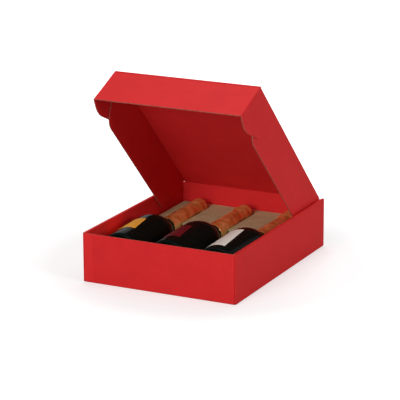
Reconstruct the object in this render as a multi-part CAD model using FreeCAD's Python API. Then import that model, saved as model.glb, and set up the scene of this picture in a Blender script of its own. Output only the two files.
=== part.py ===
"""Bottle shipping box: a folded corrugated tray with a hinged lid, packed with three sealed bottles.

Millimetres, +Z up. The origin is the middle of the tray's underside, +Y points to the hinge side and the
tray's front wall faces -Y. The lid is drawn closed and then turned to the half-open angle at which it rests.
"""
import FreeCAD, Part
import math
import os

from FreeCAD import Vector

# Tray, outside sizes. Its width follows from the bottles that lie side by side in it.
outer_depth = 382.0
outer_height = 92.0

# Corrugated board and the play between its folded layers.
board = 1.8
corner_gap = 0.2
roll_slack = 0.3
fold_radius = 1.8
crease_gap = 0.2

# Corner flaps of the front and rear walls, folded in between the two layers of each side wall.
corner_flap_length = 68.0
corner_flap_drop = 1.5
front_wall_drop = 1.0

# Lid: how far it is turned open at rest, its side flaps and the tuck flap along its front edge.
lid_open_angle = 45.5
front_clearance = 0.5
layer_clearance = 0.35
side_flap_depth = 88.0
side_flap_front_slant = 21.5
side_flap_front_setback = 2.5
side_flap_front_radius = 26.0
side_flap_rear_start = 5.0
side_flap_rear_slant = 27.0
side_flap_rear_radius = 8.0
tuck_flap_depth = 88.0
tuck_flap_splay = 22.0
tuck_crease_gap = 0.55

# Ears: rounded tongues at the ends of the tuck flap, folded back outside the lid's side flaps.
ear_length = 92.0
ear_top_start = 4.0
ear_top_end = 33.5
ear_end_radius = 12.0
ear_heel_back = 66.0
ear_heel_down = 57.0
ear_heel_radius = 30.0
ear_knee_back = 34.0
ear_knee_down = 87.5
ear_knee_radius = 42.0

# Kraft insert: a folded channel at the rear, with an open slot for each bottle neck.
kraft = 1.5
insert_height = 53.0
insert_depth = 138.0
insert_side_clearance = 0.5
seat_clearance = 0.3
slot_end_room = 6.0
slot_end_radius = 12.0
neck_play = 0.2
cut_overrun = 1.5

# Bottles, measured from the base along the axis. They lie base to the front, necks raised on the insert.
bottle_count = 3
bottle_gap = 10.0
bottle_side_gap = 6.6
bottle_tilt = 1.5
bottle_base_gap = 37.0
body_radius = 42.5
body_length = 110.0
base_radius = 5.0
punt_radius = 27.0
punt_depth = 20.0
shoulder_radius = 70.0
neck_radius = 17.0
neck_top_radius = 14.8
neck_fillet = 40.0
finish_start = 294.0
finish_radius = 16.2
finish_length = 9.0
cork_radius = 15.2
cork_taper = 1.0
bottle_length = 318.0
cork_rounding = 3.0

# Foil capsule over the neck and cork. Its skirt laps this far over the end of the shoulder's hollow fillet.
foil = 0.5
foil_play = 0.3
foil_flare = 1.0
foil_lap = 4.4255

# Paper labels, stuck on askew. Angles are about the bottle's axis from straight up, positive to the right.
label_paper = 0.25
label_play = 0.05
label_front_angles = (-68.0, 12.0)
label_rear_angles = (-76.0, 4.0)
label_starts = (39.0, 28.0, 15.0)
label_lengths = (55.0, 62.0, 92.0)

# Places that follow from the sizes above.
bottle_spacing = 2 * body_radius + bottle_gap
inner_wall_inside = (bottle_count - 1) / 2 * bottle_spacing + body_radius + bottle_side_gap
inner_wall_outside = inner_wall_inside + board
corner_flap_outside = inner_wall_outside + roll_slack + board
half_width = corner_flap_outside + corner_gap + board
outer_width = 2 * half_width
half_depth = outer_depth / 2
front_wall_inside = -half_depth + board
rear_wall_inside = half_depth - board
ear_outside = inner_wall_inside - layer_clearance
lid_half_width = ear_outside - board - layer_clearance
hinge_y = half_depth - board / 2
hinge_z = outer_height - board / 2
rear_wall_top = hinge_z - board / 2 - crease_gap
front_wall_top = outer_height - front_wall_drop
lid_reach = hinge_y - front_wall_inside - front_clearance - board / 2
axis_x = Vector(1, 0, 0)
same_point = 1e-6
names = ("left", "middle", "right")


def box(low, high):
    """Box between two corners."""
    size = [h - l for l, h in zip(low, high)]
    return Part.makeBox(*size, Vector(*low))


def fused(shapes):
    """One solid from shapes that meet, with their common faces merged."""
    whole = shapes[0].multiFuse(shapes[1:])
    return whole.removeSplitter().Solids[0]


def rounded_wire(points, radii):
    """Closed wire through the points, each corner rounded to its radius."""
    edges = []
    ends = []
    count = len(points)
    for i, corner in enumerate(points):
        back = (points[i - 1] - corner).normalize()
        ahead = (points[(i + 1) % count] - corner).normalize()
        if radii[i] == 0:
            ends.append((corner, corner))
            continue
        half = back.getAngle(ahead) / 2
        reach = radii[i] / math.tan(half)
        start = corner + back * reach
        stop = corner + ahead * reach
        inward = (back + ahead).normalize()
        middle = corner + inward * (radii[i] / math.sin(half) - radii[i])
        edges.append(Part.Arc(start, middle, stop).toShape())
        ends.append((start, stop))
    for i in range(count):
        start = ends[i][1]
        stop = ends[(i + 1) % count][0]
        if start.distanceToPoint(stop) > same_point:
            edges.append(Part.makeLine(start, stop))
    return Part.Wire(Part.__sortEdges__(edges))


def plate(points, radii, thickness):
    """Flat board of the given outline and thickness vector."""
    return Part.Face(rounded_wire(points, radii)).extrude(thickness)


def folded_inside(shape, points, radii, thickness):
    """Rounds a shape's outer folds: only what lies inside a plate of the given outline stays."""
    return shape.common(plate(points, radii, thickness)).Solids[0]


def lid_point(x, reach, drop):
    """Point of the closed lid: reach forward from the hinge axis, drop below the board's middle."""
    return Vector(x, hinge_y - reach, hinge_z - drop)


def side_section():
    """Section across the tray: floor, both outer walls rolled over into the inner walls."""
    over = inner_wall_inside
    right = [
        (half_width, 0.0, fold_radius),
        (half_width, outer_height, fold_radius),
        (over, outer_height, fold_radius),
        (over, board + corner_gap, 0.0),
        (inner_wall_outside, board + corner_gap, 0.0),
        (inner_wall_outside, outer_height - board, 0.0),
        (half_width - board, outer_height - board, 0.0),
        (half_width - board, board, 0.0),
    ]
    left = [(-x, z, r) for x, z, r in reversed(right)]
    outline = right + left
    points = [Vector(x, -half_depth, z) for x, z, r in outline]
    return plate(points, [r for x, z, r in outline], Vector(0, outer_depth, 0))


def end_wall(direction):
    """Front or rear wall with its two corner flaps, as it is folded, seen from above."""
    face = direction * half_depth
    inside = direction * (half_depth - board)
    flap_end = direction * (half_depth - corner_flap_length)
    out = corner_flap_outside
    outline = [
        (-out, flap_end, 0.0),
        (-out, face, fold_radius),
        (out, face, fold_radius),
        (out, flap_end, 0.0),
        (out - board, flap_end, 0.0),
        (out - board, inside, 0.0),
        (-out + board, inside, 0.0),
        (-out + board, flap_end, 0.0),
    ]
    bottom = board + corner_gap
    points = [Vector(x, y, bottom) for x, y, r in outline]
    top = outer_height - board - corner_flap_drop
    wall = plate(points, [r for x, y, r in outline], Vector(0, 0, top - bottom))
    low = min(face, inside)
    crest_top = rear_wall_top if direction > 0 else front_wall_top
    crest = box((-out, low, 0), (out, low + board, crest_top))
    return [wall, crest]


def make_tray():
    """Tray folded from one sheet."""
    folded = side_section()
    pieces = [folded]
    for direction in (-1, 1):
        pieces += end_wall(direction)
    outline = [
        (-half_depth, outer_height, 0.0),
        (-half_depth, 0.0, fold_radius),
        (half_depth, 0.0, fold_radius),
        (half_depth, outer_height, 0.0),
    ]
    points = [Vector(-half_width, y, z) for y, z, r in outline]
    return folded_inside(fused(pieces), points, [r for y, z, r in outline], Vector(outer_width, 0, 0))


def side_flap(sign):
    """One of the lid's side flaps, drawn closed."""
    x = sign * lid_half_width
    slant = math.tan(math.radians(side_flap_front_slant))
    front = lid_reach - side_flap_front_setback
    rear = side_flap_rear_start
    rear_low = rear + side_flap_depth * math.tan(math.radians(side_flap_rear_slant))
    points = [
        lid_point(x, rear, 0),
        lid_point(x, front, 0),
        lid_point(x, front - side_flap_depth * slant, side_flap_depth),
        lid_point(x, rear_low, side_flap_depth),
    ]
    radii = [0.0, 0.0, side_flap_front_radius, side_flap_rear_radius]
    return plate(points, radii, Vector(-sign * board, 0, 0))


def make_lid():
    """Lid panel with its two side flaps, turned to its half-open angle."""
    half = board / 2
    panel = box(
        (-lid_half_width, hinge_y - lid_reach + half + tuck_crease_gap, hinge_z - half),
        (lid_half_width, hinge_y, hinge_z + half),
    )
    knuckle = Part.makeCylinder(half, 2 * lid_half_width, lid_point(-lid_half_width, 0, 0), axis_x)
    lid = fused([panel, knuckle, side_flap(-1), side_flap(1)])
    points = [
        lid_point(-lid_half_width, -half, side_flap_depth),
        lid_point(-lid_half_width, -half, -half),
        lid_point(lid_half_width, -half, -half),
        lid_point(lid_half_width, -half, side_flap_depth),
    ]
    radii = [0.0, fold_radius, fold_radius, 0.0]
    return opened(folded_inside(lid, points, radii, Vector(0, -lid_reach, 0)))


def opened(shape):
    """Turns a shape of the closed lid to the angle at which the lid rests."""
    turned = shape.copy()
    turned.rotate(lid_point(0, 0, 0), axis_x, -lid_open_angle)
    return turned


def ear(sign):
    """Tongue at one end of the tuck flap, folded back along the lid's side."""
    x = sign * ear_outside
    points = [
        lid_point(x, lid_reach, ear_top_start),
        lid_point(x, lid_reach, tuck_flap_depth),
        lid_point(x, lid_reach - ear_knee_back, ear_knee_down),
        lid_point(x, lid_reach - ear_heel_back, ear_heel_down),
        lid_point(x, lid_reach - ear_length, ear_top_end),
    ]
    radii = [0.0, 0.0, ear_knee_radius, ear_heel_radius, ear_end_radius]
    return plate(points, radii, Vector(-sign * board, 0, 0))


def make_tuck_flap():
    """Front flap of the lid with its two ears, splayed outward from square to the lid."""
    half = board / 2
    panel = box(
        (-ear_outside, hinge_y - lid_reach - half, hinge_z - tuck_flap_depth),
        (ear_outside, hinge_y - lid_reach + half, hinge_z),
    )
    knuckle = Part.makeCylinder(half, 2 * ear_outside, lid_point(-ear_outside, lid_reach, 0), axis_x)
    flap = fused([panel, knuckle, ear(-1), ear(1)])
    points = [
        lid_point(-ear_outside, lid_reach - ear_length, -half),
        lid_point(-ear_outside, lid_reach + half, -half),
        lid_point(ear_outside, lid_reach + half, -half),
        lid_point(ear_outside, lid_reach - ear_length, -half),
    ]
    radii = [0.0, fold_radius, fold_radius, 0.0]
    flap = folded_inside(flap, points, radii, Vector(0, 0, -tuck_flap_depth - half))
    flap.rotate(lid_point(0, lid_reach, 0), axis_x, -tuck_flap_splay)
    return opened(flap)


def bottle_x(index):
    """Centre of a bottle across the tray."""
    return (index - (bottle_count - 1) / 2) * bottle_spacing


def bottle_foot():
    """Lowest corner of a bottle's base, about which it is tilted."""
    return Vector(0, front_wall_inside + bottle_base_gap, board + seat_clearance)


def laid_down(shape, index):
    """Lays a shape drawn upright on the origin into the tray, as the bottle of that index lies."""
    placed = shape.copy()
    placed.rotate(Vector(0, 0, 0), axis_x, -90)
    foot = bottle_foot()
    placed.translate(Vector(bottle_x(index), foot.y, foot.z + body_radius))
    placed.rotate(Vector(0, foot.y, foot.z), axis_x, bottle_tilt)
    return placed


def bottle_axis_height(y):
    """Height of the tilted bottle's axis over the tray's underside."""
    foot = bottle_foot()
    tilt = math.radians(bottle_tilt)
    return foot.z + body_radius / math.cos(tilt) + (y - foot.y) * math.tan(tilt)


def shoulder_end():
    """Where the neck's fillet leaves the shoulder's round: the fillet's centre and both tangent points."""
    centre = (body_length, body_radius - shoulder_radius)
    fillet_r = neck_radius + neck_fillet
    reach = shoulder_radius + neck_fillet
    fillet_w = centre[0] + math.sqrt(reach ** 2 - (fillet_r - centre[1]) ** 2)
    share = shoulder_radius / reach
    touch = (centre[0] + (fillet_w - centre[0]) * share, centre[1] + (fillet_r - centre[1]) * share)
    return centre, (fillet_w, fillet_r), touch


def arc_between(centre, radius, start, stop):
    """Arc of a circle in the drawing plane, through the point half way round."""
    mid = ((start[0] + stop[0]) / 2 - centre[0], (start[1] + stop[1]) / 2 - centre[1])
    scale = radius / math.hypot(*mid)
    middle = (centre[0] + mid[0] * scale, centre[1] + mid[1] * scale)
    return Part.Arc(*[Vector(r, 0, w) for w, r in (start, middle, stop)]).toShape()


def line_between(start, stop):
    """Straight edge in the drawing plane."""
    return Part.makeLine(*[Vector(r, 0, w) for w, r in (start, stop)])


def revolved(edges):
    """Solid of revolution about the upright axis."""
    face = Part.Face(Part.Wire(edges))
    return face.revolve(Vector(0, 0, 0), Vector(0, 0, 1), 360)


def make_bottle():
    """Sealed bottle, drawn upright: punt, body, round shoulder, neck, finish and cork."""
    shoulder, fillet, touch = shoulder_end()
    neck_start = (fillet[0], neck_radius)
    neck_end = (finish_start, neck_top_radius)
    finish_end = finish_start + finish_length
    cork_low = (finish_end + cork_taper, cork_radius)
    cork_side = (bottle_length - cork_rounding, cork_radius)
    cork_edge = (bottle_length, cork_radius - cork_rounding)
    round_start = (0.0, body_radius - base_radius)
    round_stop = (base_radius, body_radius)
    punt_round = (punt_radius ** 2 + punt_depth ** 2) / (2 * punt_depth)
    edges = [
        arc_between((punt_depth - punt_round, 0.0), punt_round, (punt_depth, 0.0), (0.0, punt_radius)),
        line_between((0.0, punt_radius), round_start),
        arc_between((base_radius, body_radius - base_radius), base_radius, round_start, round_stop),
        line_between(round_stop, (body_length, body_radius)),
        arc_between(shoulder, shoulder_radius, (body_length, body_radius), touch),
        arc_between(fillet, neck_fillet, touch, neck_start),
        line_between(neck_start, neck_end),
        line_between(neck_end, (finish_start, finish_radius)),
        line_between((finish_start, finish_radius), (finish_end, finish_radius)),
        line_between((finish_end, finish_radius), cork_low),
        line_between(cork_low, cork_side),
        arc_between((cork_side[0], cork_edge[1]), cork_rounding, cork_side, cork_edge),
        line_between(cork_edge, (bottle_length, 0.0)),
        line_between((bottle_length, 0.0), (punt_depth, 0.0)),
    ]
    return revolved(edges)


def make_capsule():
    """Foil capsule, drawn upright: a thin cup over the cork and the neck."""
    start = shoulder_end()[1][0] - foil_lap
    inner = [
        (start, neck_radius + foil_play + foil_flare),
        (finish_start - finish_length, neck_top_radius + foil_play + foil_flare),
        (finish_start - foil_play, finish_radius + foil_play),
        (bottle_length + foil_play, finish_radius + foil_play),
    ]
    end = bottle_length + foil_play
    edges = []
    for first, second in zip(inner, inner[1:]):
        edges.append(line_between(first, second))
    outer = [(w, r + foil) for w, r in inner]
    tip = (end + foil, outer[-1][1] - cork_rounding)
    side = (end + foil - cork_rounding, outer[-1][1])
    edges.append(line_between(inner[-1], (end, 0.0)))
    edges.append(line_between((end, 0.0), (end + foil, 0.0)))
    edges.append(line_between((end + foil, 0.0), tip))
    edges.append(arc_between((side[0], tip[1]), cork_rounding, tip, side))
    edges.append(line_between(side, outer[2]))
    edges.append(line_between(outer[2], outer[1]))
    edges.append(line_between(outer[1], outer[0]))
    edges.append(line_between(outer[0], inner[0]))
    return revolved(edges)


def label_corner(angle, along):
    """Corner of a label in the plane through the upright bottle's axis, behind the paper that it bounds."""
    turn = math.radians(angle)
    return Vector((body_radius + label_play) * math.sin(turn), 0, along)


def make_label(index):
    """Paper label of one bottle, drawn upright: a four-sided patch of a thin tube round the body."""
    start = label_starts[index]
    length = label_lengths[index]
    inner = body_radius + label_play
    outer = inner + label_paper
    base = Vector(0, 0, start)
    up = Vector(0, 0, 1)
    paper = Part.makeCylinder(outer, length, base, up).cut(Part.makeCylinder(inner, length, base, up))
    corners = [label_corner(angle, start) for angle in label_front_angles]
    corners += [label_corner(angle, start + length) for angle in reversed(label_rear_angles)]
    return paper.common(plate(corners, [0.0] * len(corners), Vector(0, -outer, 0)))


def neck_slot(index):
    """Space that one neck takes in the insert: a slot in its top and a round cradle in its front leg."""
    front = rear_wall_inside - seat_clearance - insert_depth
    x = bottle_x(index)
    radius = neck_radius + foil_play + foil_flare + foil + neck_play
    end = bottle_foot().y + bottle_length + slot_end_room
    low = front - cut_overrun
    top = insert_height + cut_overrun
    bottom = insert_height - kraft - cut_overrun
    points = [
        Vector(x - radius, low, bottom),
        Vector(x + radius, low, bottom),
        Vector(x + radius, end, bottom),
        Vector(x - radius, end, bottom),
    ]
    slot = plate(points, [0.0, 0.0, slot_end_radius, slot_end_radius], Vector(0, 0, top - bottom))
    height = bottle_axis_height(front)
    start = Vector(x, low, height)
    length = kraft + 2 * cut_overrun
    cradle = Part.makeCylinder(radius, length, start, Vector(0, 1, 0))
    return slot.fuse(cradle)


def make_insert():
    """Kraft channel that holds the necks: top, front leg and rear leg folded from one sheet."""
    half = lid_half_width - board - insert_side_clearance
    rear = rear_wall_inside - seat_clearance
    front = rear - insert_depth
    foot = board + corner_gap
    points = [
        Vector(-half, front, foot),
        Vector(-half, front, insert_height),
        Vector(-half, rear, insert_height),
        Vector(-half, rear, foot),
        Vector(-half, rear - kraft, foot),
        Vector(-half, rear - kraft, insert_height - kraft),
        Vector(-half, front + kraft, insert_height - kraft),
        Vector(-half, front + kraft, foot),
    ]
    radii = [0.0, fold_radius, fold_radius, 0.0, 0.0, 0.0, 0.0, 0.0]
    channel = plate(points, radii, Vector(2 * half, 0, 0))
    slots = [neck_slot(i) for i in range(bottle_count)]
    return channel.cut(slots).removeSplitter()


def save(shape, name):
    """Writes one piece."""
    shape.exportStep("parts/" + name + ".step")


os.makedirs("parts", exist_ok=True)
save(make_tray(), "tray")
save(make_lid(), "lid")
save(make_tuck_flap(), "tuck_flap")
save(make_insert(), "neck_insert")
bottle = make_bottle()
capsule = make_capsule()
for place in range(bottle_count):
    save(laid_down(bottle, place), "bottle_" + names[place])
    save(laid_down(capsule, place), "capsule_" + names[place])
    save(laid_down(make_label(place), place), "label_" + names[place])
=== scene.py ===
"""Bottle shipping box: the looks of a mailer box with three bottles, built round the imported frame."""
import math

import bmesh
import bpy
from mathutils import Matrix, Vector


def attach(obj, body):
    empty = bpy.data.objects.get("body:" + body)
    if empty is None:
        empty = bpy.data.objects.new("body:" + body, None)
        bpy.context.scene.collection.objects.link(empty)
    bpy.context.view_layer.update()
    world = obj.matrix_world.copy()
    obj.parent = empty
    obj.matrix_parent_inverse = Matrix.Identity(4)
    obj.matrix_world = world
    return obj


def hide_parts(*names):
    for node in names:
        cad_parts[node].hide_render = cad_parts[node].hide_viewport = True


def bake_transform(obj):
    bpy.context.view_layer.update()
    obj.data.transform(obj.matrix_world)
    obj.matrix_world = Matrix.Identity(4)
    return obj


bl_info = {
    "name": "Bottle shipping box",
    "version": (1, 0, 0),
    "blender": (4, 5, 0),
    "location": "View3D > Sidebar > Bottle box",
    "description": "Builds a folded red mailer box with a kraft neck insert and three foiled bottles",
    "category": "Add Mesh",
}

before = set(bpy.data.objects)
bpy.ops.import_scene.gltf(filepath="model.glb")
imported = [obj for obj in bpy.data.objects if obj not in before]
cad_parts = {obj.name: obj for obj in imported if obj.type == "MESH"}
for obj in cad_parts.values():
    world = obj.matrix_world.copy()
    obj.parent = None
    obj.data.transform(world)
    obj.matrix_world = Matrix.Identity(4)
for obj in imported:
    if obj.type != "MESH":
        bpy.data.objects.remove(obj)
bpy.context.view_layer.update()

TRAY_BODY = "tray_body"
LID_BODY = "lid_body"
TUCK_BODY = "tuck_flap_body"
PLACES = ("left", "middle", "right")
HANDS = (-1, 1)
MM = 0.001
FOLD_STEPS = 4
ROUND_STEPS = 12
LATHE_STEPS = 96
FOIL_STEPS = 112
PRINT_FACE, FOLD_FACE, CUT_FACE = 0, 1, 2
SAME_PLACE = 1e-5
SMOOTH_ANGLE = math.radians(35)
# A face counts as turned along an axis from this share of its normal.
FACING = 0.7
# The liner inside a cross fold: its reach into both panels, its thickness and its distance from the sides.
LINER_REACH = 3.5 * MM
LINER_THICKNESS = 0.8 * MM
LINER_MARGIN = 3 * MM
# Outlines along a bottle, in millimetres: of its lip, from the lip's start and radius, and of its capsule,
# from the bottle's base and axis.
LIP_KNOTS = ((0.4, -0.5), (1.0, 0.0), (8.4, 0.0), (9.0, -0.7), (10.0, -1.0))
FOIL_KNOTS = (
    (176.0, 18.5), (176.6, 18.9), (182.0, 18.5), (206.0, 18.0), (230.0, 17.4), (250.0, 16.9), (270.0, 16.2),
    (281.0, 15.9), (286.0, 16.3), (290.0, 17.3), (294.0, 17.9), (298.0, 17.7), (301.0, 16.6), (303.5, 15.9),
    (306.5, 16.4), (310.0, 17.1), (314.0, 17.0), (316.6, 16.2), (318.2, 14.4), (318.8, 12.0), (318.6, 9.0),
    (318.2, 8.0), (318.6, 7.0), (318.8, 4.0), (318.7, 0.0))
FOIL_POINT_STEP = 1.2
# Each lamp's name, place, power in watts and width; all aim at one point over the tray.
LAMPS = (
    ("key_light", (-0.8, -4.1, 2.3), 55.0, 1.6),
    ("low_light", (0.0, -4.2, 1.2), 54.0, 1.2),
    ("side_light", (3.8, -0.6, 1.6), 54.0, 1.6),
    ("top_light", (-0.3, 0.9, 2.9), 32.0, 1.6))
LAMP_AIM = (0, 0, 0.12)
# How bright the world is as a lamp, and as what the camera, metal and glass see.
WORLD_LIGHT, WORLD_SEEN = 0.22, 1.0
# The photograph's viewpoint, worked out from the box's corners; the turn is in degrees.
CAMERA_PLACE = (1.62659, -3.27846, 1.18080)
CAMERA_TURN = (73.84179, 0.22783, 26.50999)
CAMERA_LENS = 189.0
FLOOR_WIDTH = 8.0
# The floor's own glow for the camera, weaker near the box so that its shadow shows.
GLOW_DISTANCES = (0.28, 0.6)
GLOW_STRENGTHS = (0.5, 1.0)


class TraySizes(bpy.types.PropertyGroup):
    """Sizes of the tray's folded board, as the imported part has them."""

    width: bpy.props.FloatProperty(
        name="Width", description="Outside width of the tray", default=0.3, unit="LENGTH")
    depth: bpy.props.FloatProperty(
        name="Depth", description="Outside depth of the tray", default=0.382, unit="LENGTH")
    height: bpy.props.FloatProperty(
        name="Height", description="Outside height of the tray", default=0.092, unit="LENGTH")
    board: bpy.props.FloatProperty(
        name="Board", description="Thickness of the corrugated board", default=0.0018, unit="LENGTH")
    fold: bpy.props.FloatProperty(
        name="Fold radius", description="Outer radius of a fold", default=0.0018, unit="LENGTH")
    wall_stack: bpy.props.FloatProperty(
        name="Side wall", description="Whole thickness of a rolled side wall",
        default=0.0059, unit="LENGTH")
    layer_gap: bpy.props.FloatProperty(
        name="Layer gap", description="Play between two folded layers", default=0.0002, unit="LENGTH")
    front_drop: bpy.props.FloatProperty(
        name="Front drop", description="How far the front wall stays under the rolled walls",
        default=0.001, unit="LENGTH")
    rear_drop: bpy.props.FloatProperty(
        name="Rear drop", description="How far the rear wall stays under the rolled walls",
        default=0.002, unit="LENGTH")
    corner_flap: bpy.props.FloatProperty(
        name="Corner flap", description="Length of the flaps between the side walls' layers",
        default=0.068, unit="LENGTH")
    score_place: bpy.props.FloatProperty(
        name="Score", description="Distance of the faint upright score from the front wall's left corner",
        default=0.0175, unit="LENGTH")


class LidSizes(bpy.types.PropertyGroup):
    """Sizes of the lid, its side flaps and its tuck flap, drawn closed."""

    half_width: bpy.props.FloatProperty(
        name="Half width", description="Half of the lid's outside width", default=0.1416, unit="LENGTH")
    reach: bpy.props.FloatProperty(
        name="Reach", description="Distance from the hinge to the tuck flap's fold",
        default=0.3779, unit="LENGTH")
    opened: bpy.props.FloatProperty(
        name="Opened", description="Turn of the lid from closed to rest",
        default=math.radians(45.5), subtype="ANGLE")
    flap_depth: bpy.props.FloatProperty(
        name="Flap depth", description="Depth of the side flaps and the tuck flap",
        default=0.088, unit="LENGTH")
    front_slant: bpy.props.FloatProperty(
        name="Front slant", description="Slant of a side flap's front edge",
        default=math.radians(21.5), subtype="ANGLE")
    rear_slant: bpy.props.FloatProperty(
        name="Rear slant", description="Slant of a side flap's rear edge",
        default=math.radians(27.0), subtype="ANGLE")
    rear_start: bpy.props.FloatProperty(
        name="Rear start", description="Distance of a side flap from the hinge",
        default=0.005, unit="LENGTH")
    setback: bpy.props.FloatProperty(
        name="Setback", description="Distance of a side flap from the tuck flap",
        default=0.0025, unit="LENGTH")
    front_round: bpy.props.FloatProperty(
        name="Front rounding", description="Radius of a side flap's front corner",
        default=0.026, unit="LENGTH")
    rear_round: bpy.props.FloatProperty(
        name="Rear rounding", description="Radius of a side flap's rear corner",
        default=0.008, unit="LENGTH")
    crease_gap: bpy.props.FloatProperty(
        name="Crease gap", description="Gap at the tuck flap's fold", default=0.00055, unit="LENGTH")
    tuck_half_width: bpy.props.FloatProperty(
        name="Tuck half width", description="Half of the width over the ears",
        default=0.14375, unit="LENGTH")
    splay: bpy.props.FloatProperty(
        name="Splay", description="Turn of the tuck flap outwards from square to the lid",
        default=math.radians(22.0), subtype="ANGLE")
    ear_length: bpy.props.FloatProperty(
        name="Ear length", description="Length of an ear behind the tuck flap",
        default=0.092, unit="LENGTH")
    ear_start: bpy.props.FloatProperty(
        name="Ear start", description="How far an ear starts under the lid", default=0.004, unit="LENGTH")
    ear_tip: bpy.props.FloatProperty(
        name="Ear tip", description="How far the ear's tip lies under the lid",
        default=0.0335, unit="LENGTH")
    ear_tip_round: bpy.props.FloatProperty(
        name="Ear tip rounding", description="Radius of the ear's tip", default=0.012, unit="LENGTH")
    heel: bpy.props.FloatVectorProperty(
        name="Ear heel", description="The ear's outline: back, down and radius of its heel",
        default=(0.066, 0.057, 0.03), unit="LENGTH")
    knee: bpy.props.FloatVectorProperty(
        name="Ear knee", description="The ear's outline: back, down and radius of its knee",
        default=(0.034, 0.0875, 0.042), unit="LENGTH")


class BottleSizes(bpy.types.PropertyGroup):
    """Sizes of one bottle and its capsule, measured from its base along its axis."""

    spacing: bpy.props.FloatProperty(
        name="Spacing", description="Distance between the axes", default=0.095, unit="LENGTH")
    tilt: bpy.props.FloatProperty(
        name="Tilt", description="Rise of the neck as the bottle lies",
        default=math.radians(1.5), subtype="ANGLE")
    foot_y: bpy.props.FloatProperty(
        name="Foot place", description="Where the base stands along the tray",
        default=-0.1522, unit="LENGTH")
    foot_z: bpy.props.FloatProperty(
        name="Foot height", description="Height of the body's underside", default=0.0021, unit="LENGTH")
    body_radius: bpy.props.FloatProperty(
        name="Body radius", description="Radius of the body", default=0.0425, unit="LENGTH")
    body_length: bpy.props.FloatProperty(
        name="Body length", description="Where the shoulder starts", default=0.11, unit="LENGTH")
    shoulder_radius: bpy.props.FloatProperty(
        name="Shoulder radius", description="Radius of the shoulder's arc", default=0.07, unit="LENGTH")
    neck_radius: bpy.props.FloatProperty(
        name="Neck radius", description="Radius at the neck's foot", default=0.017, unit="LENGTH")
    neck_fillet: bpy.props.FloatProperty(
        name="Neck fillet", description="Radius between shoulder and neck", default=0.04, unit="LENGTH")
    neck_top_radius: bpy.props.FloatProperty(
        name="Neck top radius", description="Radius under the lip", default=0.0148, unit="LENGTH")
    lip_start: bpy.props.FloatProperty(
        name="Lip start", description="Where the lip starts", default=0.294, unit="LENGTH")
    lip_radius: bpy.props.FloatProperty(
        name="Lip radius", description="Radius of the lip", default=0.0162, unit="LENGTH")
    length: bpy.props.FloatProperty(
        name="Length", description="Length with its cork", default=0.318, unit="LENGTH")
    base_round: bpy.props.FloatProperty(
        name="Base rounding", description="Radius at the foot of the body", default=0.005, unit="LENGTH")
    punt_radius: bpy.props.FloatProperty(
        name="Punt radius", description="Radius of the hollow in the base", default=0.027, unit="LENGTH")
    punt_depth: bpy.props.FloatProperty(
        name="Punt depth", description="Depth of the hollow in the base", default=0.02, unit="LENGTH")
    foil_start: bpy.props.FloatProperty(
        name="Foil start", description="Where the capsule's skirt ends", default=0.176, unit="LENGTH")
    foil_crumple: bpy.props.FloatProperty(
        name="Foil crumple", description="Height of the foil's dents and pleats",
        default=0.0011, unit="LENGTH")


class Colours(bpy.types.PropertyGroup):
    """Colours as written, in sRGB hex."""

    red_print: bpy.props.StringProperty(
        name="Red print", description="Even ink on the outer and inner liner", default="D92829")
    red_dense: bpy.props.StringProperty(
        name="Dense red", description="Where more ink was laid down", default="CB2224")
    # The print is drawn a little darker along each fold.
    red_fold_darker: bpy.props.StringProperty(
        name="Darker fold red", description="Ink along a fold", default="B81C1F")
    raw_edge: bpy.props.StringProperty(
        name="Raw edge", description="Cut liner and flutes of the red board", default="B0685C")
    raw_hollow: bpy.props.StringProperty(
        name="Raw hollow", description="Shade between the flutes of a cut edge", default="7A342C")
    kraft: bpy.props.StringProperty(
        name="Kraft", description="Bare brown board", default="C8CB9F")
    kraft_fleck: bpy.props.StringProperty(
        name="Kraft fleck", description="Darker fibres in the bare board", default="A8A577")
    glass: bpy.props.StringProperty(
        name="Bottle glass", description="Dark green glass over wine", default="08120E")
    glass_neck: bpy.props.StringProperty(
        name="Thin glass", description="The glass where less wine stands behind it", default="1D3324")
    foil: bpy.props.StringProperty(
        name="Foil", description="Copper coloured lacquer on foil", default="F2BE74")
    # The foil's second colour is painted shade: the foil is drawn darker in its dents, where shade falls.
    foil_painted_shade: bpy.props.StringProperty(
        name="Foil painted shade", description="Painted shade in the foil's dents", default="CC9248")
    label_left: bpy.props.StringProperty(
        name="Left label", description="Paper of the left label", default="FFB636")
    label_middle: bpy.props.StringProperty(
        name="Middle label", description="Paper of the middle label", default="6E151B")
    label_right: bpy.props.StringProperty(
        name="Right label", description="Paper of the right label", default="FFFDF0")
    floor: bpy.props.StringProperty(
        name="Floor", description="Studio paper under the box", default="CCCCCC")


def linear(code, share=1.0):
    """Linear colour from an sRGB hex code, darkened to the given share."""
    parts = [int(code[i:i + 2], 16) / 255 for i in (0, 2, 4)]
    values = [c / 12.92 if c <= 0.04045 else ((c + 0.055) / 1.055) ** 2.4 for c in parts]
    return tuple(c * share for c in values) + (1.0,)


def new_material(name):
    """Starts a node material and gives its tree, its shader and its coordinates."""
    material = bpy.data.materials.new(name)
    material.use_nodes = True
    tree = material.node_tree
    return tree, tree.nodes["Principled BSDF"], add_node(tree, "ShaderNodeTexCoord").outputs


def add_node(tree, kind, settings=None, inputs=None):
    """Adds one node, sets its properties and fills its sockets with values or links."""
    node = tree.nodes.new(kind)
    for key, value in (settings or {}).items():
        setattr(node, key, value)
    fill(tree, node, inputs or {})
    return node


def fill(tree, node, inputs):
    """Fills a node's sockets with values or links."""
    for key, value in inputs.items():
        if isinstance(value, bpy.types.NodeSocket):
            tree.links.new(value, node.inputs[key])
        else:
            node.inputs[key].default_value = value


def noise(tree, place, length, detail=2.0, roughness=0.5):
    """Noise whose features have the given length."""
    node = add_node(tree, "ShaderNodeTexNoise", inputs={
        "Vector": place, "Scale": 1 / length, "Detail": detail, "Roughness": roughness})
    return node.outputs["Fac"]


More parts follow.
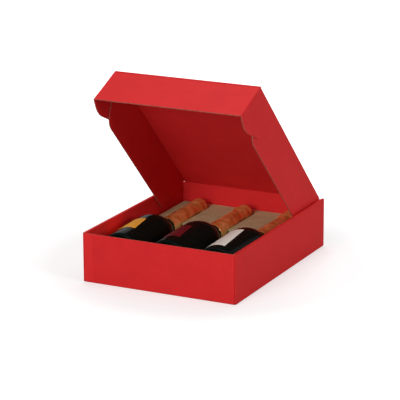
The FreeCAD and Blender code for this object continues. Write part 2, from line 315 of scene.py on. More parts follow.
def weigh(tree, value, share, rest):
    """Adds a share of one value to another."""
    node = add_node(tree, "ShaderNodeMath", {"operation": "MULTIPLY_ADD"}, {0: value, 1: share, 2: rest})
    return node.outputs[0]


def spread(tree, value, low, high):
    """Stretches a value between two limits over 0 to 1."""
    node = add_node(tree, "ShaderNodeMapRange", inputs={"Value": value, "From Min": low, "From Max": high})
    return node.outputs[0]


def mix_colours(tree, share, first, second):
    """Goes from the first linear colour to the second."""
    node = add_node(tree, "ShaderNodeMix", {"data_type": "RGBA"}, {0: share, 6: first, 7: second})
    return node.outputs[2]


def emboss(tree, height, depth, strength):
    """Normals of a surface raised by up to the depth."""
    node = add_node(tree, "ShaderNodeBump", inputs={
        "Strength": strength, "Distance": depth, "Height": height})
    return node.outputs["Normal"]


def board_print(name, light, dark, roughness, flute_depth):
    """Red ink on a corrugated board's liner, with its flutes and fibres showing through."""
    tree, shader, place = new_material(name)
    # Wide, weak blotches of uneven ink, about 40 mm across.
    blotch = noise(tree, place["Object"], 40 * MM, 5.0, 0.6)
    # The board's flutes are 3.2 mm apart; drawn 4.6 mm apart so that they show as the fine lines they give.
    flutes = add_node(tree, "ShaderNodeTexWave", {"bands_direction": "Y"}, {
        "Vector": place["UV"], "Scale": math.pi / (10 * 4.6 * MM),
        "Distortion": 5.0, "Detail": 3.0, "Detail Scale": 0.35}).outputs["Fac"]
    # Paper fibres are under 1 mm; drawn 2.5 mm long so that they show.
    fibre = noise(tree, place["Object"], 2.5 * MM, 3.0, 0.65)
    ink = weigh(tree, fibre, 0.3, weigh(tree, flutes, 0.3, blotch))
    fill(tree, shader, {
        "Base Color": mix_colours(tree, spread(tree, ink, 0.45, 1.15), linear(dark), linear(light)),
        "Normal": emboss(tree, weigh(tree, fibre, 0.5, flutes), flute_depth, 0.3),
        "Roughness": roughness, "Specular IOR Level": 0.12})


def raw_edge(colours):
    """Cut edge of corrugated board: brown flutes between two red liners, so that it looks pinkish brown."""
    tree, shader, place = new_material("cut_corrugated_edge")
    # The flutes' arches along a cut, 3.2 mm apart.
    arches = noise(tree, place["Object"], 3.2 * MM, 3.0, 0.7)
    fill(tree, shader, {
        "Base Color": mix_colours(
            tree, spread(tree, arches, 0.35, 0.6), linear(colours.raw_hollow), linear(colours.raw_edge)),
        "Normal": emboss(tree, arches, 0.3 * MM, 0.5),
        "Roughness": 0.9, "Specular IOR Level": 0.15})


def kraft_board(colours):
    """Bare kraft board: unbleached wood pulp with darker flecks, dull and dry."""
    tree, shader, place = new_material("unbleached_kraft_board")
    # Flecks 1.5 mm across lie mostly along the sheet.
    along = add_node(tree, "ShaderNodeMapping", inputs={"Vector": place["Object"], "Scale": (0.35, 1.0, 1.0)})
    fleck = noise(tree, along.outputs[0], 1.5 * MM, 5.0, 0.7)
    # Paler and darker clouds in the pulp, about 25 mm across.
    cloud = noise(tree, place["Object"], 25 * MM, 3.0)
    pulp = spread(tree, weigh(tree, cloud, 0.6, fleck), 0.55, 1.0)
    fill(tree, shader, {
        "Base Color": mix_colours(tree, pulp, linear(colours.kraft_fleck), linear(colours.kraft)),
        "Normal": emboss(tree, fleck, 0.15 * MM, 0.4),
        "Roughness": 0.88, "Specular IOR Level": 0.2})


def bottle_glass(colours, sizes):
    """Moulded dark green soda-lime glass, full of wine: near black, greener where the bottle is thin."""
    tree, shader, place = new_material("moulded_green_bottle_glass")
    along = add_node(tree, "ShaderNodeSeparateXYZ", inputs={0: place["Object"]}).outputs["Y"]
    shoulder = sizes.foot_y + sizes.body_length
    thin = spread(tree, along, shoulder, shoulder + sizes.shoulder_radius)
    # The mould leaves weak waves, about 25 mm long.
    wave = noise(tree, place["Object"], 25 * MM, 1.0)
    fill(tree, shader, {
        "Base Color": mix_colours(tree, thin, linear(colours.glass), linear(colours.glass_neck)),
        "Normal": emboss(tree, wave, 0.5 * MM, 0.2),
        "Roughness": 0.22, "IOR": 1.52, "Specular IOR Level": 0.022})


def copper_foil(colours):
    """Aluminium foil under copper coloured lacquer, pressed on by hand: warm metal with soft glints."""
    tree, shader, place = new_material("lacquered_copper_foil")
    # Shallow dents, about 14 mm apart; the colour is darker in them as painted shade.
    dents = noise(tree, place["Object"], 14 * MM)
    fill(tree, shader, {
        "Base Color": mix_colours(
            tree, spread(tree, dents, 0.35, 0.62), linear(colours.foil_painted_shade), linear(colours.foil)),
        "Normal": emboss(tree, dents, 0.9 * MM, 0.3),
        "Metallic": 0.45, "Roughness": 0.27})


def label_paper(place_name, code):
    """Coated label paper in one plain colour: smooth, with a faint tooth."""
    tree, shader, place = new_material("coated_label_paper_" + place_name)
    # The paper's tooth is under 0.2 mm; drawn 1.2 mm wide so that it shows.
    tooth = noise(tree, place["Object"], 1.2 * MM)
    fill(tree, shader, {
        "Base Color": mix_colours(tree, tooth, linear(code, 0.86), linear(code)),
        "Normal": emboss(tree, tooth, 0.05 * MM, 0.2),
        "Roughness": 0.6, "Specular IOR Level": 0.12})


def clear_selection():
    """Leaves object mode with nothing selected."""
    if bpy.context.object and bpy.context.object.mode != "OBJECT":
        bpy.ops.object.mode_set(mode="OBJECT")
    bpy.ops.object.select_all(action="DESELECT")


def work_on(piece, mode="OBJECT"):
    """Makes a piece the only one selected and active, in the given mode with nothing picked."""
    clear_selection()
    piece.select_set(True)
    bpy.context.view_layer.objects.active = piece
    if mode == "EDIT":
        bpy.ops.object.mode_set(mode="EDIT")
        bpy.ops.mesh.select_all(action="DESELECT")


def settle(piece):
    """Puts a piece's place in its mesh."""
    work_on(piece)
    bpy.ops.object.transform_apply(location=True, rotation=True, scale=True)


def start_sheet(name, centre, size, turn=(0.0, 0.0, 0.0)):
    """Adds a flat sheet of the given size and goes into edit mode with nothing picked."""
    clear_selection()
    bpy.ops.mesh.primitive_plane_add(size=1.0, location=centre, rotation=turn)
    piece = bpy.context.object
    piece.name = name
    piece.scale = (size[0], size[1], 1.0)
    settle(piece)
    work_on(piece, "EDIT")
    return piece


def pick(piece, test, kind="EDGE"):
    """Picks the vertices, edges or faces whose every corner passes the test."""
    bpy.ops.mesh.select_mode(type=kind)
    bpy.ops.mesh.select_all(action="DESELECT")
    mesh = bmesh.from_edit_mesh(piece.data)
    count = 0
    for part in {"VERT": mesh.verts, "EDGE": mesh.edges, "FACE": mesh.faces}[kind]:
        corners = [part.co] if kind == "VERT" else [v.co for v in part.verts]
        if all(test(c) for c in corners):
            part.select = True
            count += 1
    mesh.select_flush_mode()
    bmesh.update_edit_mesh(piece.data)
    if count == 0:
        raise RuntimeError(piece.name + ": nothing was found to pick")


def near(value, place):
    """True where two lengths agree."""
    return abs(value - place) < SAME_PLACE


def pull(piece, test, move):
    """Extrudes the picked edges by the given move."""
    pick(piece, test)
    bpy.ops.mesh.extrude_edges_move(TRANSFORM_OT_translate={"value": move})


def shift(piece, test, move):
    """Moves the picked corners."""
    pick(piece, test, "VERT")
    bpy.ops.transform.translate(value=move)


def crease(piece, test, radius):
    """Rounds the picked fold lines."""
    pick(piece, test)
    bpy.ops.mesh.bevel(
        offset=radius, segments=FOLD_STEPS, affect="EDGES", material=FOLD_FACE, clamp_overlap=False)


def round_corner(piece, test, radius):
    """Rounds one corner of a flat flap to a radius, whatever its angle."""
    pick(piece, test, "VERT")
    mesh = bmesh.from_edit_mesh(piece.data)
    corner = next(v for v in mesh.verts if v.select)
    arms = [e.other_vert(corner).co - corner.co for e in corner.link_edges if e.is_boundary]
    offset = radius / math.tan(arms[0].angle(arms[1]) / 2)
    bpy.ops.mesh.bevel(offset=offset, segments=ROUND_STEPS, affect="VERTICES", clamp_overlap=False)


def turn_about(piece, pivot, angle):
    """Turns a whole piece about a line along X through the pivot, from +Y towards +Z."""
    work_on(piece, "EDIT")
    bpy.ops.mesh.select_all(action="SELECT")
    bpy.ops.transform.rotate(value=-angle, orient_axis="X", center_override=pivot)
    bpy.ops.object.mode_set(mode="OBJECT")


def use_modifier(piece, kind, **settings):
    """Adds a modifier with its settings and applies it."""
    work_on(piece)
    modifier = piece.modifiers.new(kind.title(), kind)
    for key, value in settings.items():
        setattr(modifier, key, value)
    bpy.ops.object.modifier_apply(modifier=modifier.name)


def dress(piece, *names):
    """Gives a piece its material slots."""
    piece.data.materials.clear()
    for name in names:
        piece.data.materials.append(bpy.data.materials[name])


def dress_board(piece):
    """Gives a sheet its print, fold and cut edge."""
    dress(piece, "flexo_printed_corrugated_board", "creased_printed_board", "cut_corrugated_edge")


def face_outwards(piece):
    """Recalculates a closed piece's normals and smooths all but its sharp edges."""
    work_on(piece, "EDIT")
    bpy.ops.mesh.select_all(action="SELECT")
    bpy.ops.mesh.normals_make_consistent(inside=False)
    bpy.ops.object.mode_set(mode="OBJECT")
    bpy.ops.object.shade_smooth_by_angle(angle=SMOOTH_ANGLE)


def thicken_board(piece, thickness):
    """Gives a folded sheet its thickness, with the cut edges in their own slot."""
    bpy.ops.object.mode_set(mode="OBJECT")
    use_modifier(
        piece, "SOLIDIFY", thickness=thickness, offset=0.0, use_even_offset=True,
        use_rim=True, material_offset_rim=CUT_FACE)
    face_outwards(piece)


def print_over(piece, test):
    """Covers the cut edges whose middle passes the test with the print, as where a fold hides them."""
    for face in piece.data.polygons:
        if face.material_index == CUT_FACE and test(face.center, face.normal):
            face.material_index = PRINT_FACE


def lay_flutes(piece):
    """Lays the flutes in the piece's UV map, in metres: they run from side wall to side wall."""
    mesh = piece.data
    layer = mesh.uv_layers.active
    layer.name = "flutes"
    for face in mesh.polygons:
        steep = abs(face.normal.y) > max(abs(face.normal.x), abs(face.normal.z))
        across = 2 if abs(face.normal.x) > FACING else 0
        along = 2 if steep else 1
        for loop in face.loop_indices:
            place = mesh.vertices[mesh.loops[loop].vertex_index].co
            layer.data[loop].uv = (place[across], place[along])


def finish_piece(piece, name, body, nodes=()):
    """Names a piece, lets it ride on its body and hides the imported parts that it takes the place of."""
    piece.name = name
    piece.data.name = name
    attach(piece, body)
    if nodes:
        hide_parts(*nodes)


class BOX_OT_materials(bpy.types.Operator):
    """Makes the board, glass, foil and paper finishes"""

    bl_idname = "bottle_box.materials"
    bl_label = "Finishes"

    def execute(self, context):
        colours = context.scene.box_colours
        # Matt flexo print on white-top corrugated board: an even coat that shows the flutes as fine lines.
        board_print("flexo_printed_corrugated_board", colours.red_print, colours.red_dense, 0.6, 0.08 * MM)
        # The same print along a fold, a little darker.
        board_print("creased_printed_board", colours.red_print, colours.red_fold_darker, 0.7, 0.05 * MM)
        raw_edge(colours)
        kraft_board(colours)
        bottle_glass(colours, context.scene.bottle_sizes)
        copper_foil(colours)
        for place in PLACES:
            label_paper(place, getattr(colours, "label_" + place))
        return {"FINISHED"}


class BOX_OT_tray(bpy.types.Operator):
    """Folds the tray from one sheet: floor, rolled side walls, front and rear wall"""

    bl_idname = "bottle_box.tray"
    bl_label = "Tray"

    def execute(self, context):
        sizes = context.scene.tray_sizes
        half = sizes.board / 2
        side = sizes.width / 2 - half
        end = sizes.depth / 2 - half
        wall = side - sizes.board - sizes.layer_gap
        inner = sizes.width / 2 - sizes.wall_stack + half
        top = sizes.height - half
        low = sizes.board + sizes.layer_gap
        foot = 6 * MM
        step = 3 * MM
        flap_drop = 2 * MM
        fold = sizes.fold - half
        crests = {-1: sizes.height - sizes.front_drop, 1: sizes.height - sizes.rear_drop}
        piece = start_sheet("tray_sheet", (0, 0, half), (2 * wall, 2 * (end - foot)))
        dress_board(piece)
        for sign, crest in crests.items():
            pull(piece, lambda c: near(c.y, sign * (end - foot)), (0, sign * foot, 0))
            pull(piece, lambda c: near(c.y, sign * end) and near(c.z, half), (0, 0, step))
            pull(piece, lambda c: near(c.y, sign * end) and near(c.z, half + step),
                 (0, 0, crest - half - step - flap_drop))
            pull(piece, lambda c: near(c.y, sign * end) and near(c.z, crest - flap_drop), (0, 0, flap_drop))
            for hand in HANDS:
                pull(piece, lambda c: near(c.y, sign * end) and near(c.x, hand * wall)
                     and step < c.z < crest - flap_drop / 2, (0, -sign * (sizes.corner_flap - half), 0))
        for hand in HANDS:
            pull(piece, lambda c: near(c.x, hand * wall) and near(c.z, half)
                 and abs(c.y) < end - foot + SAME_PLACE, (hand * (side - wall), 0, 0))
            for sign in HANDS:
                shift(piece, lambda c: near(c.x, hand * side) and near(c.y, sign * (end - foot)),
                      (0, sign * (foot + half), 0))
            pull(piece, lambda c: near(c.x, hand * side) and near(c.z, half), (0, 0, top - half))
            pull(piece, lambda c: near(c.x, hand * side) and near(c.z, top), (-hand * (side - inner), 0, 0))
            pull(piece, lambda c: near(c.x, hand * inner) and near(c.z, top), (0, 0, low - top))
        crease(piece, lambda c: near(abs(c.x), side) and (near(c.z, half) or near(c.z, top)), fold)
        crease(piece, lambda c: near(abs(c.x), inner) and near(c.z, top), fold)
        crease(
            piece, lambda c: near(abs(c.y), end) and near(c.z, half) and abs(c.x) < wall + SAME_PLACE, fold)
        self.score(piece, sizes, wall, end, step)
        thicken_board(piece, sizes.board)
        # Neither the side walls' upright ends nor the rear wall's top show a bare edge.
        print_over(piece, lambda c, n: abs(n.y) > FACING and abs(c.x) > wall)
        print_over(piece, lambda c, n: n.z > FACING and c.y > end - sizes.board)
        lay_flutes(piece)
        finish_piece(piece, "tray_sheet", TRAY_BODY, ["tray"])
        return {"FINISHED"}

    def score(self, piece, sizes, wall, end, step):
        """Presses the faint upright score into the front wall near its left corner."""
        middle = sizes.score_place - sizes.width / 2
        reach = 0.8 * MM
        pressed = 0.35 * MM
        for place in (middle - reach, middle, middle + reach):
            pick(piece, lambda c: near(c.y, -end) and c.z > step and abs(c.x) < wall + SAME_PLACE, "FACE")
            bpy.ops.mesh.bisect(plane_co=(place, 0, 0), plane_no=(1, 0, 0))
        shift(piece, lambda c: near(c.x, middle) and near(c.y, -end), (0, pressed, 0))


def hinge_place(sizes):
    """Middle of the lid's hinge axis."""
    return 0, sizes.depth / 2 - sizes.board / 2, sizes.height - sizes.board / 2


def swung(place, hinge, angle):
    """Where a point lies after a turn about a line along X through the hinge."""
    return Vector(hinge) + Matrix.Rotation(angle, 3, "X") @ (Vector(place) - Vector(hinge))


def fold_liner(name, half_width, fold, side, turn, hinge, opened):
    """Adds the bent liner inside a cross fold, set where the fold lies at rest."""
    y, z = fold[1:]
    piece = start_sheet(
        name, (0, y + side * LINER_REACH / 2, z), (2 * (half_width - LINER_MARGIN), LINER_REACH))
    dress(piece, "creased_printed_board")
    pull(piece, lambda c: near(c.y, y), (0, 0, -LINER_REACH))
    pick(piece, lambda c: near(c.y, y) and near(c.z, z - LINER_REACH))
    bpy.ops.transform.rotate(value=turn, orient_axis="X", center_override=fold)
    bpy.ops.object.mode_set(mode="OBJECT")
    use_modifier(piece, "SOLIDIFY", thickness=LINER_THICKNESS, offset=0.0, use_even_offset=True)
    face_outwards(piece)
    lay_flutes(piece)
    turn_about(piece, hinge, -opened)
    return piece


class BOX_OT_lid(bpy.types.Operator):
    """Folds the lid panel with its two side flaps and turns it to its open angle"""

    bl_idname = "bottle_box.lid"
    bl_label = "Lid"

    def execute(self, context):
        board = context.scene.tray_sizes.board
        fold = context.scene.tray_sizes.fold
        sizes = context.scene.lid_sizes
        half = board / 2
        hinge = hinge_place(context.scene.tray_sizes)
        hinge_y, hinge_z = hinge[1:]
        side = sizes.half_width - half
        front = hinge_y - sizes.reach + half + sizes.crease_gap
        deep = sizes.flap_depth
        step = 5 * MM
        piece = start_sheet("lid_sheet", (0, (front + hinge_y) / 2, hinge_z), (2 * side, hinge_y - front))
        dress_board(piece)
        for hand in HANDS:
            def corner(c, drop, rear):
                return near(c.z, hinge_z - drop) and c.x * hand > 0 and (c.y > 0) == rear

            pull(piece, lambda c: near(c.x, hand * side), (0, 0, -step))
            pull(piece, lambda c: near(c.x, hand * side) and near(c.z, hinge_z - step), (0, 0, step - deep))
            edge = hinge_y - sizes.reach + sizes.setback - front
            front_slant = math.tan(sizes.front_slant)
            rear_slant = math.tan(sizes.rear_slant)
            shift(piece, lambda c: corner(c, step, False), (0, edge + step * front_slant, 0))
            shift(piece, lambda c: corner(c, deep, False), (0, edge + deep * front_slant, 0))
            shift(piece, lambda c: corner(c, step, True), (0, -sizes.rear_start - step * rear_slant, 0))
            shift(piece, lambda c: corner(c, deep, True), (0, -sizes.rear_start - deep * rear_slant, 0))
            round_corner(piece, lambda c: corner(c, deep, False), sizes.front_round)
            round_corner(piece, lambda c: corner(c, deep, True), sizes.rear_round)
        crease(piece, lambda c: near(abs(c.x), side) and near(c.z, hinge_z), fold - half)
        thicken_board(piece, board)
        # The lid's two cross folds go on in the rear wall and in the tuck flap, so no cut edge shows there.
        print_over(piece, lambda c, n: abs(n.y) > FACING and c.z > hinge_z - board)
        lay_flutes(piece)
        turn_about(piece, hinge, -sizes.opened)
        finish_piece(piece, "lid_sheet", LID_BODY, ["lid"])
        liner = fold_liner("hinge_liner", side, hinge, -1, -sizes.opened, hinge, sizes.opened)
        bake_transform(liner)
        return {"FINISHED"}


class BOX_OT_tuck_flap(bpy.types.Operator):
    """Folds the lid's tuck flap with its rounded ears and turns it to its place"""

    bl_idname = "bottle_box.tuck_flap"
    bl_label = "Tuck flap"

    def execute(self, context):
        board = context.scene.tray_sizes.board
        fold = context.scene.tray_sizes.fold
        sizes = context.scene.lid_sizes
        half = board / 2
        hinge = hinge_place(context.scene.tray_sizes)
        hinge_y, hinge_z = hinge[1:]
        side = sizes.tuck_half_width - half
        deep = sizes.flap_depth
        start = sizes.ear_start
        face = hinge_y - sizes.reach
        tip = face + sizes.ear_length
        piece = start_sheet(
            "tuck_sheet", (0, face, hinge_z - (start + deep) / 2), (2 * side, deep - start),
            (math.radians(90), 0, 0))
        dress_board(piece)
        pull(piece, lambda c: near(c.z, hinge_z - start), (0, 0, start))
        for hand in HANDS:
            def corner(c, back, down):
                return near(c.x, hand * side) and near(c.y, face + back) and near(c.z, hinge_z - down)

            length = sizes.ear_length
            pull(piece, lambda c: near(c.x, hand * side) and c.z < hinge_z - start + SAME_PLACE,
                 (0, length, 0))
            pick(piece, lambda c: near(c.x, hand * side) and near(c.z, hinge_z - deep))
            bpy.ops.mesh.subdivide(number_cuts=1)
            shift(piece, lambda c: corner(c, length, start), (0, 0, start - sizes.ear_tip))
            for spot, place in ((sizes.heel, length), (sizes.knee, length / 2)):
                shift(piece, lambda c: corner(c, place, deep), (0, spot[0] - place, deep - spot[1]))
            for back, down, radius in (sizes.knee, sizes.heel):
                round_corner(piece, lambda c: corner(c, back, down), radius)
            round_corner(piece, lambda c: near(c.y, tip) and c.x * hand > 0, sizes.ear_tip_round)
        crease(piece, lambda c: near(abs(c.x), side) and near(c.y, face)
               and c.z < hinge_z - start + SAME_PLACE, fold - half)
        thicken_board(piece, board)
        print_over(piece, lambda c, n: n.z > FACING and c.z > hinge_z - board)
        lay_flutes(piece)
        turn_about(piece, (0, face, hinge_z), -sizes.splay)
        turn_about(piece, hinge, -sizes.opened)
        finish_piece(piece, "tuck_sheet", TUCK_BODY, ["tuck_flap"])
        liner = fold_liner(
            "tuck_fold_liner", sizes.half_width, (0, face, hinge_z), 1, sizes.splay, hinge, sizes.opened)
        start, end = (swung(p, hinge, -sizes.opened) for p in (
            (0, face + half + sizes.crease_gap, hinge_z), (0, face, hinge_z - half)))
        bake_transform(liner)
        return {"FINISHED"}


def arc(centre, radius, start, stop, steps):
    """Points along an arc of the profile, each as place along the axis and radius."""
    low = math.atan2(start[1] - centre[1], start[0] - centre[0])
    high = math.atan2(stop[1] - centre[1], stop[0] - centre[0])
    turns = [low + (high - low) * i / steps for i in range(steps + 1)]
    return [(centre[0] + radius * math.cos(a), centre[1] + radius * math.sin(a)) for a in turns]


def bottle_profile(sizes):
    """The bottle's outline from the middle of its punt to the middle of its cork."""
    body = sizes.body_radius
    rim = sizes.base_round
    punt = (sizes.punt_radius ** 2 + sizes.punt_depth ** 2) / (2 * sizes.punt_depth)
    shoulder = (sizes.body_length, body - sizes.shoulder_radius)
    fillet_r = sizes.neck_radius + sizes.neck_fillet
    reach = sizes.shoulder_radius + sizes.neck_fillet
    fillet = (shoulder[0] + math.sqrt(reach ** 2 - (fillet_r - shoulder[1]) ** 2), fillet_r)
    share = sizes.shoulder_radius / reach
    touch = tuple(s + (f - s) * share for s, f in zip(shoulder, fillet))
    lip = sizes.lip_start
    lip_r = sizes.lip_radius
    points = arc(
        (sizes.punt_depth - punt, 0.0), punt, (sizes.punt_depth, 0.0), (0.0, sizes.punt_radius), 12)
    points += arc((rim, body - rim), rim, (0.0, body - rim), (rim, body), 8)
    points += [(sizes.body_length * i / 6, body) for i in range(1, 6)]
    points += arc(shoulder, sizes.shoulder_radius, (sizes.body_length, body), touch, 20)
    points += arc(fillet, sizes.neck_fillet, touch, (fillet[0], sizes.neck_radius), 14)[1:]
    points += [(lip, sizes.neck_top_radius)]
    points += [(lip + w * MM, lip_r + r * MM) for w, r in LIP_KNOTS]
    # The cork's side carries on from the lip's last knot, up to its rounded end.
    cork_r = points[-1][1]
    cork_round = 3 * MM
    cork_end = sizes.length - cork_round
    points += arc((cork_end, cork_r - cork_round), cork_round,
                  (cork_end, cork_r), (sizes.length, cork_r - cork_round), 6)
    return points + [(sizes.length, 0.0)]


def foil_profile(sizes):
    """The capsule's outside: a long skirt, the bulge over the wire cage and the cork's mushroom head."""
    offset = sizes.foil_start - FOIL_KNOTS[0][0] * MM
    points = []
    for (w, r), (w_next, r_next) in zip(FOIL_KNOTS, FOIL_KNOTS[1:]):
        steps = max(1, round(math.hypot(w_next - w, r_next - r) / FOIL_POINT_STEP))
        for i in range(steps):
            share = i / steps
            points.append(((w + (w_next - w) * share) * MM + offset, (r + (r_next - r) * share) * MM))
    return points + [(FOIL_KNOTS[-1][0] * MM + offset, 0.0)]


def lathe(name, profile, steps=LATHE_STEPS):
    """Turns an outline, drawn point by point, about the upright axis."""
    clear_selection()
    bpy.ops.mesh.primitive_plane_add(size=1.0)
    piece = bpy.context.object
    piece.name = name
    bpy.ops.object.mode_set(mode="EDIT")
    bpy.ops.mesh.select_all(action="SELECT")
    bpy.ops.mesh.merge(type="CENTER")
    bpy.ops.mesh.select_mode(type="VERT")
    bpy.ops.mesh.select_all(action="SELECT")
    bpy.ops.transform.translate(value=(profile[0][1], 0, profile[0][0]))
    for (w, r), (w_next, r_next) in zip(profile, profile[1:]):
        move = (r_next - r, 0, w_next - w)
        bpy.ops.mesh.extrude_vertices_move(TRANSFORM_OT_translate={"value": move})
    bpy.ops.mesh.select_all(action="SELECT")
    bpy.ops.mesh.spin(steps=steps, angle=2 * math.pi, center=(0, 0, 0), axis=(0, 0, 1))
    bpy.ops.mesh.select_all(action="SELECT")
    bpy.ops.mesh.remove_doubles(threshold=0.01 * MM)
    face_outwards(piece)
    return piece


def lay_down(piece, sizes, index):
    """Lays a piece that is drawn upright into the tray, as the bottle of that index lies."""
    foot = Vector((0, sizes.foot_y, sizes.foot_z))
    x = (index - (len(PLACES) - 1) / 2) * sizes.spacing
    raised = Matrix.Translation(foot) @ Matrix.Rotation(sizes.tilt, 4, "X") @ Matrix.Translation(-foot)
    place = Matrix.Translation(foot + Vector((x, 0, sizes.body_radius)))
    piece.matrix_world = raised @ place @ Matrix.Rotation(-math.pi / 2, 4, "X")
    settle(piece)


def copy_of(piece):
    """Copies a piece with its own mesh."""
    work_on(piece)
    bpy.ops.object.duplicate(linked=False)
    return bpy.context.object


class BOX_OT_bottles(bpy.types.Operator):
    """Turns one bottle and lays three of it in the tray, necks to the rear"""

    bl_idname = "bottle_box.bottles"
    bl_label = "Bottles"

    def execute(self, context):
        sizes = context.scene.bottle_sizes
        first = lathe("glass_bottle", bottle_profile(sizes))
        dress(first, "moulded_green_bottle_glass")
        pieces = [first, copy_of(first), copy_of(first)]
        for index, place in enumerate(PLACES):
            lay_down(pieces[index], sizes, index)
            finish_piece(
                pieces[index], "glass_bottle_" + place, TRAY_BODY, ["bottle_" + place])
        return {"FINISHED"}


class BOX_OT_capsules(bpy.types.Operator):
    """Presses a foil capsule over each neck, with pleats, dents and the wire cage showing through"""

    bl_idname = "bottle_box.capsules"
    bl_label = "Foil capsules"

    def execute(self, context):
        sizes = context.scene.bottle_sizes
        for index, place in enumerate(PLACES):
            piece = lathe("foil_capsule", foil_profile(sizes), FOIL_STEPS)
            dress(piece, "lacquered_copper_foil")
            self.press_cage(piece, index * math.radians(35))
            self.crumple(piece, index, sizes.foil_crumple)
            lay_down(piece, sizes, index)
            finish_piece(piece, "foil_capsule_" + place, TRAY_BODY, ["capsule_" + place])
        return {"FINISHED"}

    def press_cage(self, piece, turn):
        """Raises the ring and the four wires of the cage under the foil, and pinches the end into pleats."""
        ring_low, ring_high = 298.4 * MM, 300.4 * MM
        pleats_low, pleats_high = 283 * MM, 291 * MM
        wires_low = 301 * MM
        crown = 8 * MM
        work_on(piece, "EDIT")
        pick(piece, lambda c: ring_low < c.z < ring_high, "VERT")
        bpy.ops.transform.shrink_fatten(value=0.5 * MM)
        self.press_lines(
            piece, 4, turn, lambda c: c.z > wires_low and c.xy.length > crown, 0.9 * MM, 0.55 * MM)
        self.press_lines(
            piece, 14, turn, lambda c: pleats_low < c.z < pleats_high, 0.8 * MM, -0.45 * MM)
        bpy.ops.object.mode_set(mode="OBJECT")

    def press_lines(self, piece, count, turn, test, half_width, height):
        """Raises narrow lines along the capsule, evenly round it; a height below zero sinks them."""
        for line in range(count):
            angle = turn + line * math.tau / count
            side = Vector((math.cos(angle), math.sin(angle), 0))
            pick(piece, lambda c: test(c) and c.dot(side) > 0 and abs(c.cross(side).z) < half_width, "VERT")
            bpy.ops.transform.shrink_fatten(value=height)

    def crumple(self, piece, index, height):
        """Displaces the foil by long pleats and then by small dents, each capsule in its own way."""
        for stretch, share in ((0.25, 1.0), (1.0, 1.1)):
            pattern = bpy.data.textures.new("foil_dents", "CLOUDS")
            pattern.noise_scale = 9 * MM
            pattern.noise_depth = 2
            aside = index * 0.4
            piece.location.x = aside
            piece.scale.z = stretch
            settle(piece)
            use_modifier(piece, "DISPLACE", texture=pattern, strength=height * share, mid_level=0.55)
            piece.location.x = -aside
            piece.scale.z = 1 / stretch
            settle(piece)
        face_outwards(piece)


class BOX_OT_carried(bpy.types.Operator):
    """Gives the solids that are shown as they are their finishes"""

    bl_idname = "bottle_box.carried"
    bl_label = "Carried solids"

    def execute(self, context):
        finishes = {"neck_insert": "unbleached_kraft_board"}
        for place in PLACES:
            finishes["label_" + place] = "coated_label_paper_" + place
        for node, finish in finishes.items():
            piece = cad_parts[node]
            if not piece.material_slots:
                piece.data.materials.append(None)
            for slot in piece.material_slots:
                slot.link = "OBJECT"
                slot.material = bpy.data.materials[finish]
        return {"FINISHED"}


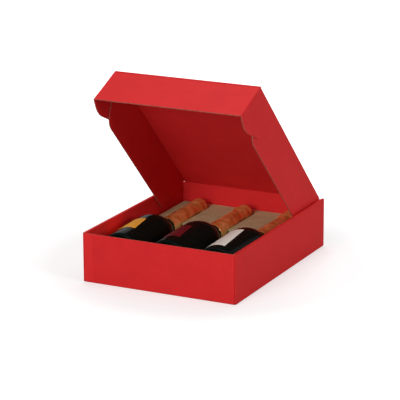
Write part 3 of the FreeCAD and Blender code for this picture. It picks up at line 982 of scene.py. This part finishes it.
class BOX_OT_stage(bpy.types.Operator):
    """Sets the floor, the soft lamps, the white background and the camera"""

    bl_idname = "bottle_box.stage"
    bl_label = "Stage"

    def execute(self, context):
        self.lay_floor(context.scene)
        self.light_world(context.scene)
        for name, place, power, width in LAMPS:
            lamp = bpy.data.lights.new(name, "AREA")
            lamp.energy = power
            lamp.size = width
            holder = self.add_holder(context.scene, name, lamp, place)
            holder.rotation_euler = (Vector(LAMP_AIM) - Vector(place)).to_track_quat("-Z", "Y").to_euler()
        camera = bpy.data.cameras.new("product_camera")
        camera.lens = CAMERA_LENS
        camera.sensor_width = 36.0
        camera.clip_end = 50.0
        holder = self.add_holder(context.scene, "product_camera", camera, CAMERA_PLACE)
        holder.rotation_euler = [math.radians(a) for a in CAMERA_TURN]
        context.scene.camera = holder
        context.scene.view_settings.view_transform = "Standard"
        return {"FINISHED"}

    def add_holder(self, scene, name, data, place):
        """Puts a lamp or camera in the scene."""
        holder = bpy.data.objects.new(name, data)
        scene.collection.objects.link(holder)
        holder.location = place
        return holder

    def lay_floor(self, scene):
        """Pale studio paper that the camera sees as white, apart from the box's shadow."""
        clear_selection()
        bpy.ops.mesh.primitive_plane_add(size=FLOOR_WIDTH, location=(0, 0, 0))
        floor = bpy.context.object
        floor.name = "studio_floor"
        tree, shader, place = new_material("white_studio_paper")
        fill(tree, shader, {
            "Base Color": linear(scene.box_colours.floor), "Roughness": 0.9, "Specular IOR Level": 0.1})
        distance = add_node(tree, "ShaderNodeVectorMath", {"operation": "LENGTH"}, {0: place["Object"]})
        lift = add_node(tree, "ShaderNodeMapRange", inputs={
            "Value": distance.outputs["Value"],
            "From Min": GLOW_DISTANCES[0], "From Max": GLOW_DISTANCES[1],
            "To Min": GLOW_STRENGTHS[0], "To Max": GLOW_STRENGTHS[1]})
        rays = add_node(tree, "ShaderNodeLightPath")
        share = add_node(tree, "ShaderNodeMath", {"operation": "MULTIPLY"}, {
            0: rays.outputs["Is Camera Ray"], 1: lift.outputs[0]})
        glow = add_node(tree, "ShaderNodeEmission", inputs={"Strength": share.outputs[0]})
        both = add_node(tree, "ShaderNodeAddShader", inputs={0: shader.outputs[0], 1: glow.outputs[0]})
        fill(tree, tree.nodes["Material Output"], {"Surface": both.outputs[0]})
        dress(floor, "white_studio_paper")

    def light_world(self, scene):
        """Even soft light from all round, which the camera, metal and glass see as white."""
        world = bpy.data.worlds.new("studio")
        scene.world = world
        world.use_nodes = True
        tree = world.node_tree
        tree.nodes.clear()
        rays = add_node(tree, "ShaderNodeLightPath")
        seen = rays.outputs["Is Camera Ray"]
        for kind in ("Is Glossy Ray", "Is Transmission Ray"):
            inputs = {0: seen, 1: rays.outputs[kind]}
            seen = add_node(tree, "ShaderNodeMath", {"operation": "MAXIMUM"}, inputs).outputs[0]
        strength = add_node(tree, "ShaderNodeMapRange", inputs={
            "Value": seen, "To Min": WORLD_LIGHT, "To Max": WORLD_SEEN})
        light = add_node(tree, "ShaderNodeBackground", inputs={
            "Color": (1, 1, 1, 1), "Strength": strength.outputs[0]})
        add_node(tree, "ShaderNodeOutputWorld", inputs={"Surface": light.outputs[0]})


class BOX_PT_panel(bpy.types.Panel):
    """Lists the sizes, the colours and the steps that build the box"""

    bl_idname = "BOX_PT_panel"
    bl_label = "Bottle box"
    bl_space_type = "VIEW_3D"
    bl_region_type = "UI"
    bl_category = "Bottle box"

    def draw(self, context):
        for key in SETTINGS:
            group = getattr(context.scene, key)
            for name in group.bl_rna.properties.keys():
                if name not in ("rna_type", "name"):
                    self.layout.prop(group, name)
        for step in STEPS:
            self.layout.operator(step.bl_idname)


SETTINGS = {
    "tray_sizes": TraySizes, "lid_sizes": LidSizes, "bottle_sizes": BottleSizes, "box_colours": Colours}
STEPS = (
    BOX_OT_materials, BOX_OT_tray, BOX_OT_lid, BOX_OT_tuck_flap, BOX_OT_bottles, BOX_OT_capsules,
    BOX_OT_carried, BOX_OT_stage)
CLASSES = tuple(SETTINGS.values()) + STEPS + (BOX_PT_panel,)


def register():
    """Registers the classes and the scene's settings."""
    for item in CLASSES:
        bpy.utils.register_class(item)
    for key, group in SETTINGS.items():
        setattr(bpy.types.Scene, key, bpy.props.PointerProperty(type=group))


def unregister():
    """Takes the classes and the scene's settings away again."""
    for key in SETTINGS:
        delattr(bpy.types.Scene, key)
    for item in reversed(CLASSES):
        bpy.utils.unregister_class(item)


def main():
    """Builds the pieces in order."""
    register()
    for step in STEPS:
        group, name = step.bl_idname.split(".")
        getattr(getattr(bpy.ops, group), name)()


if __name__ == "__main__":
    main()
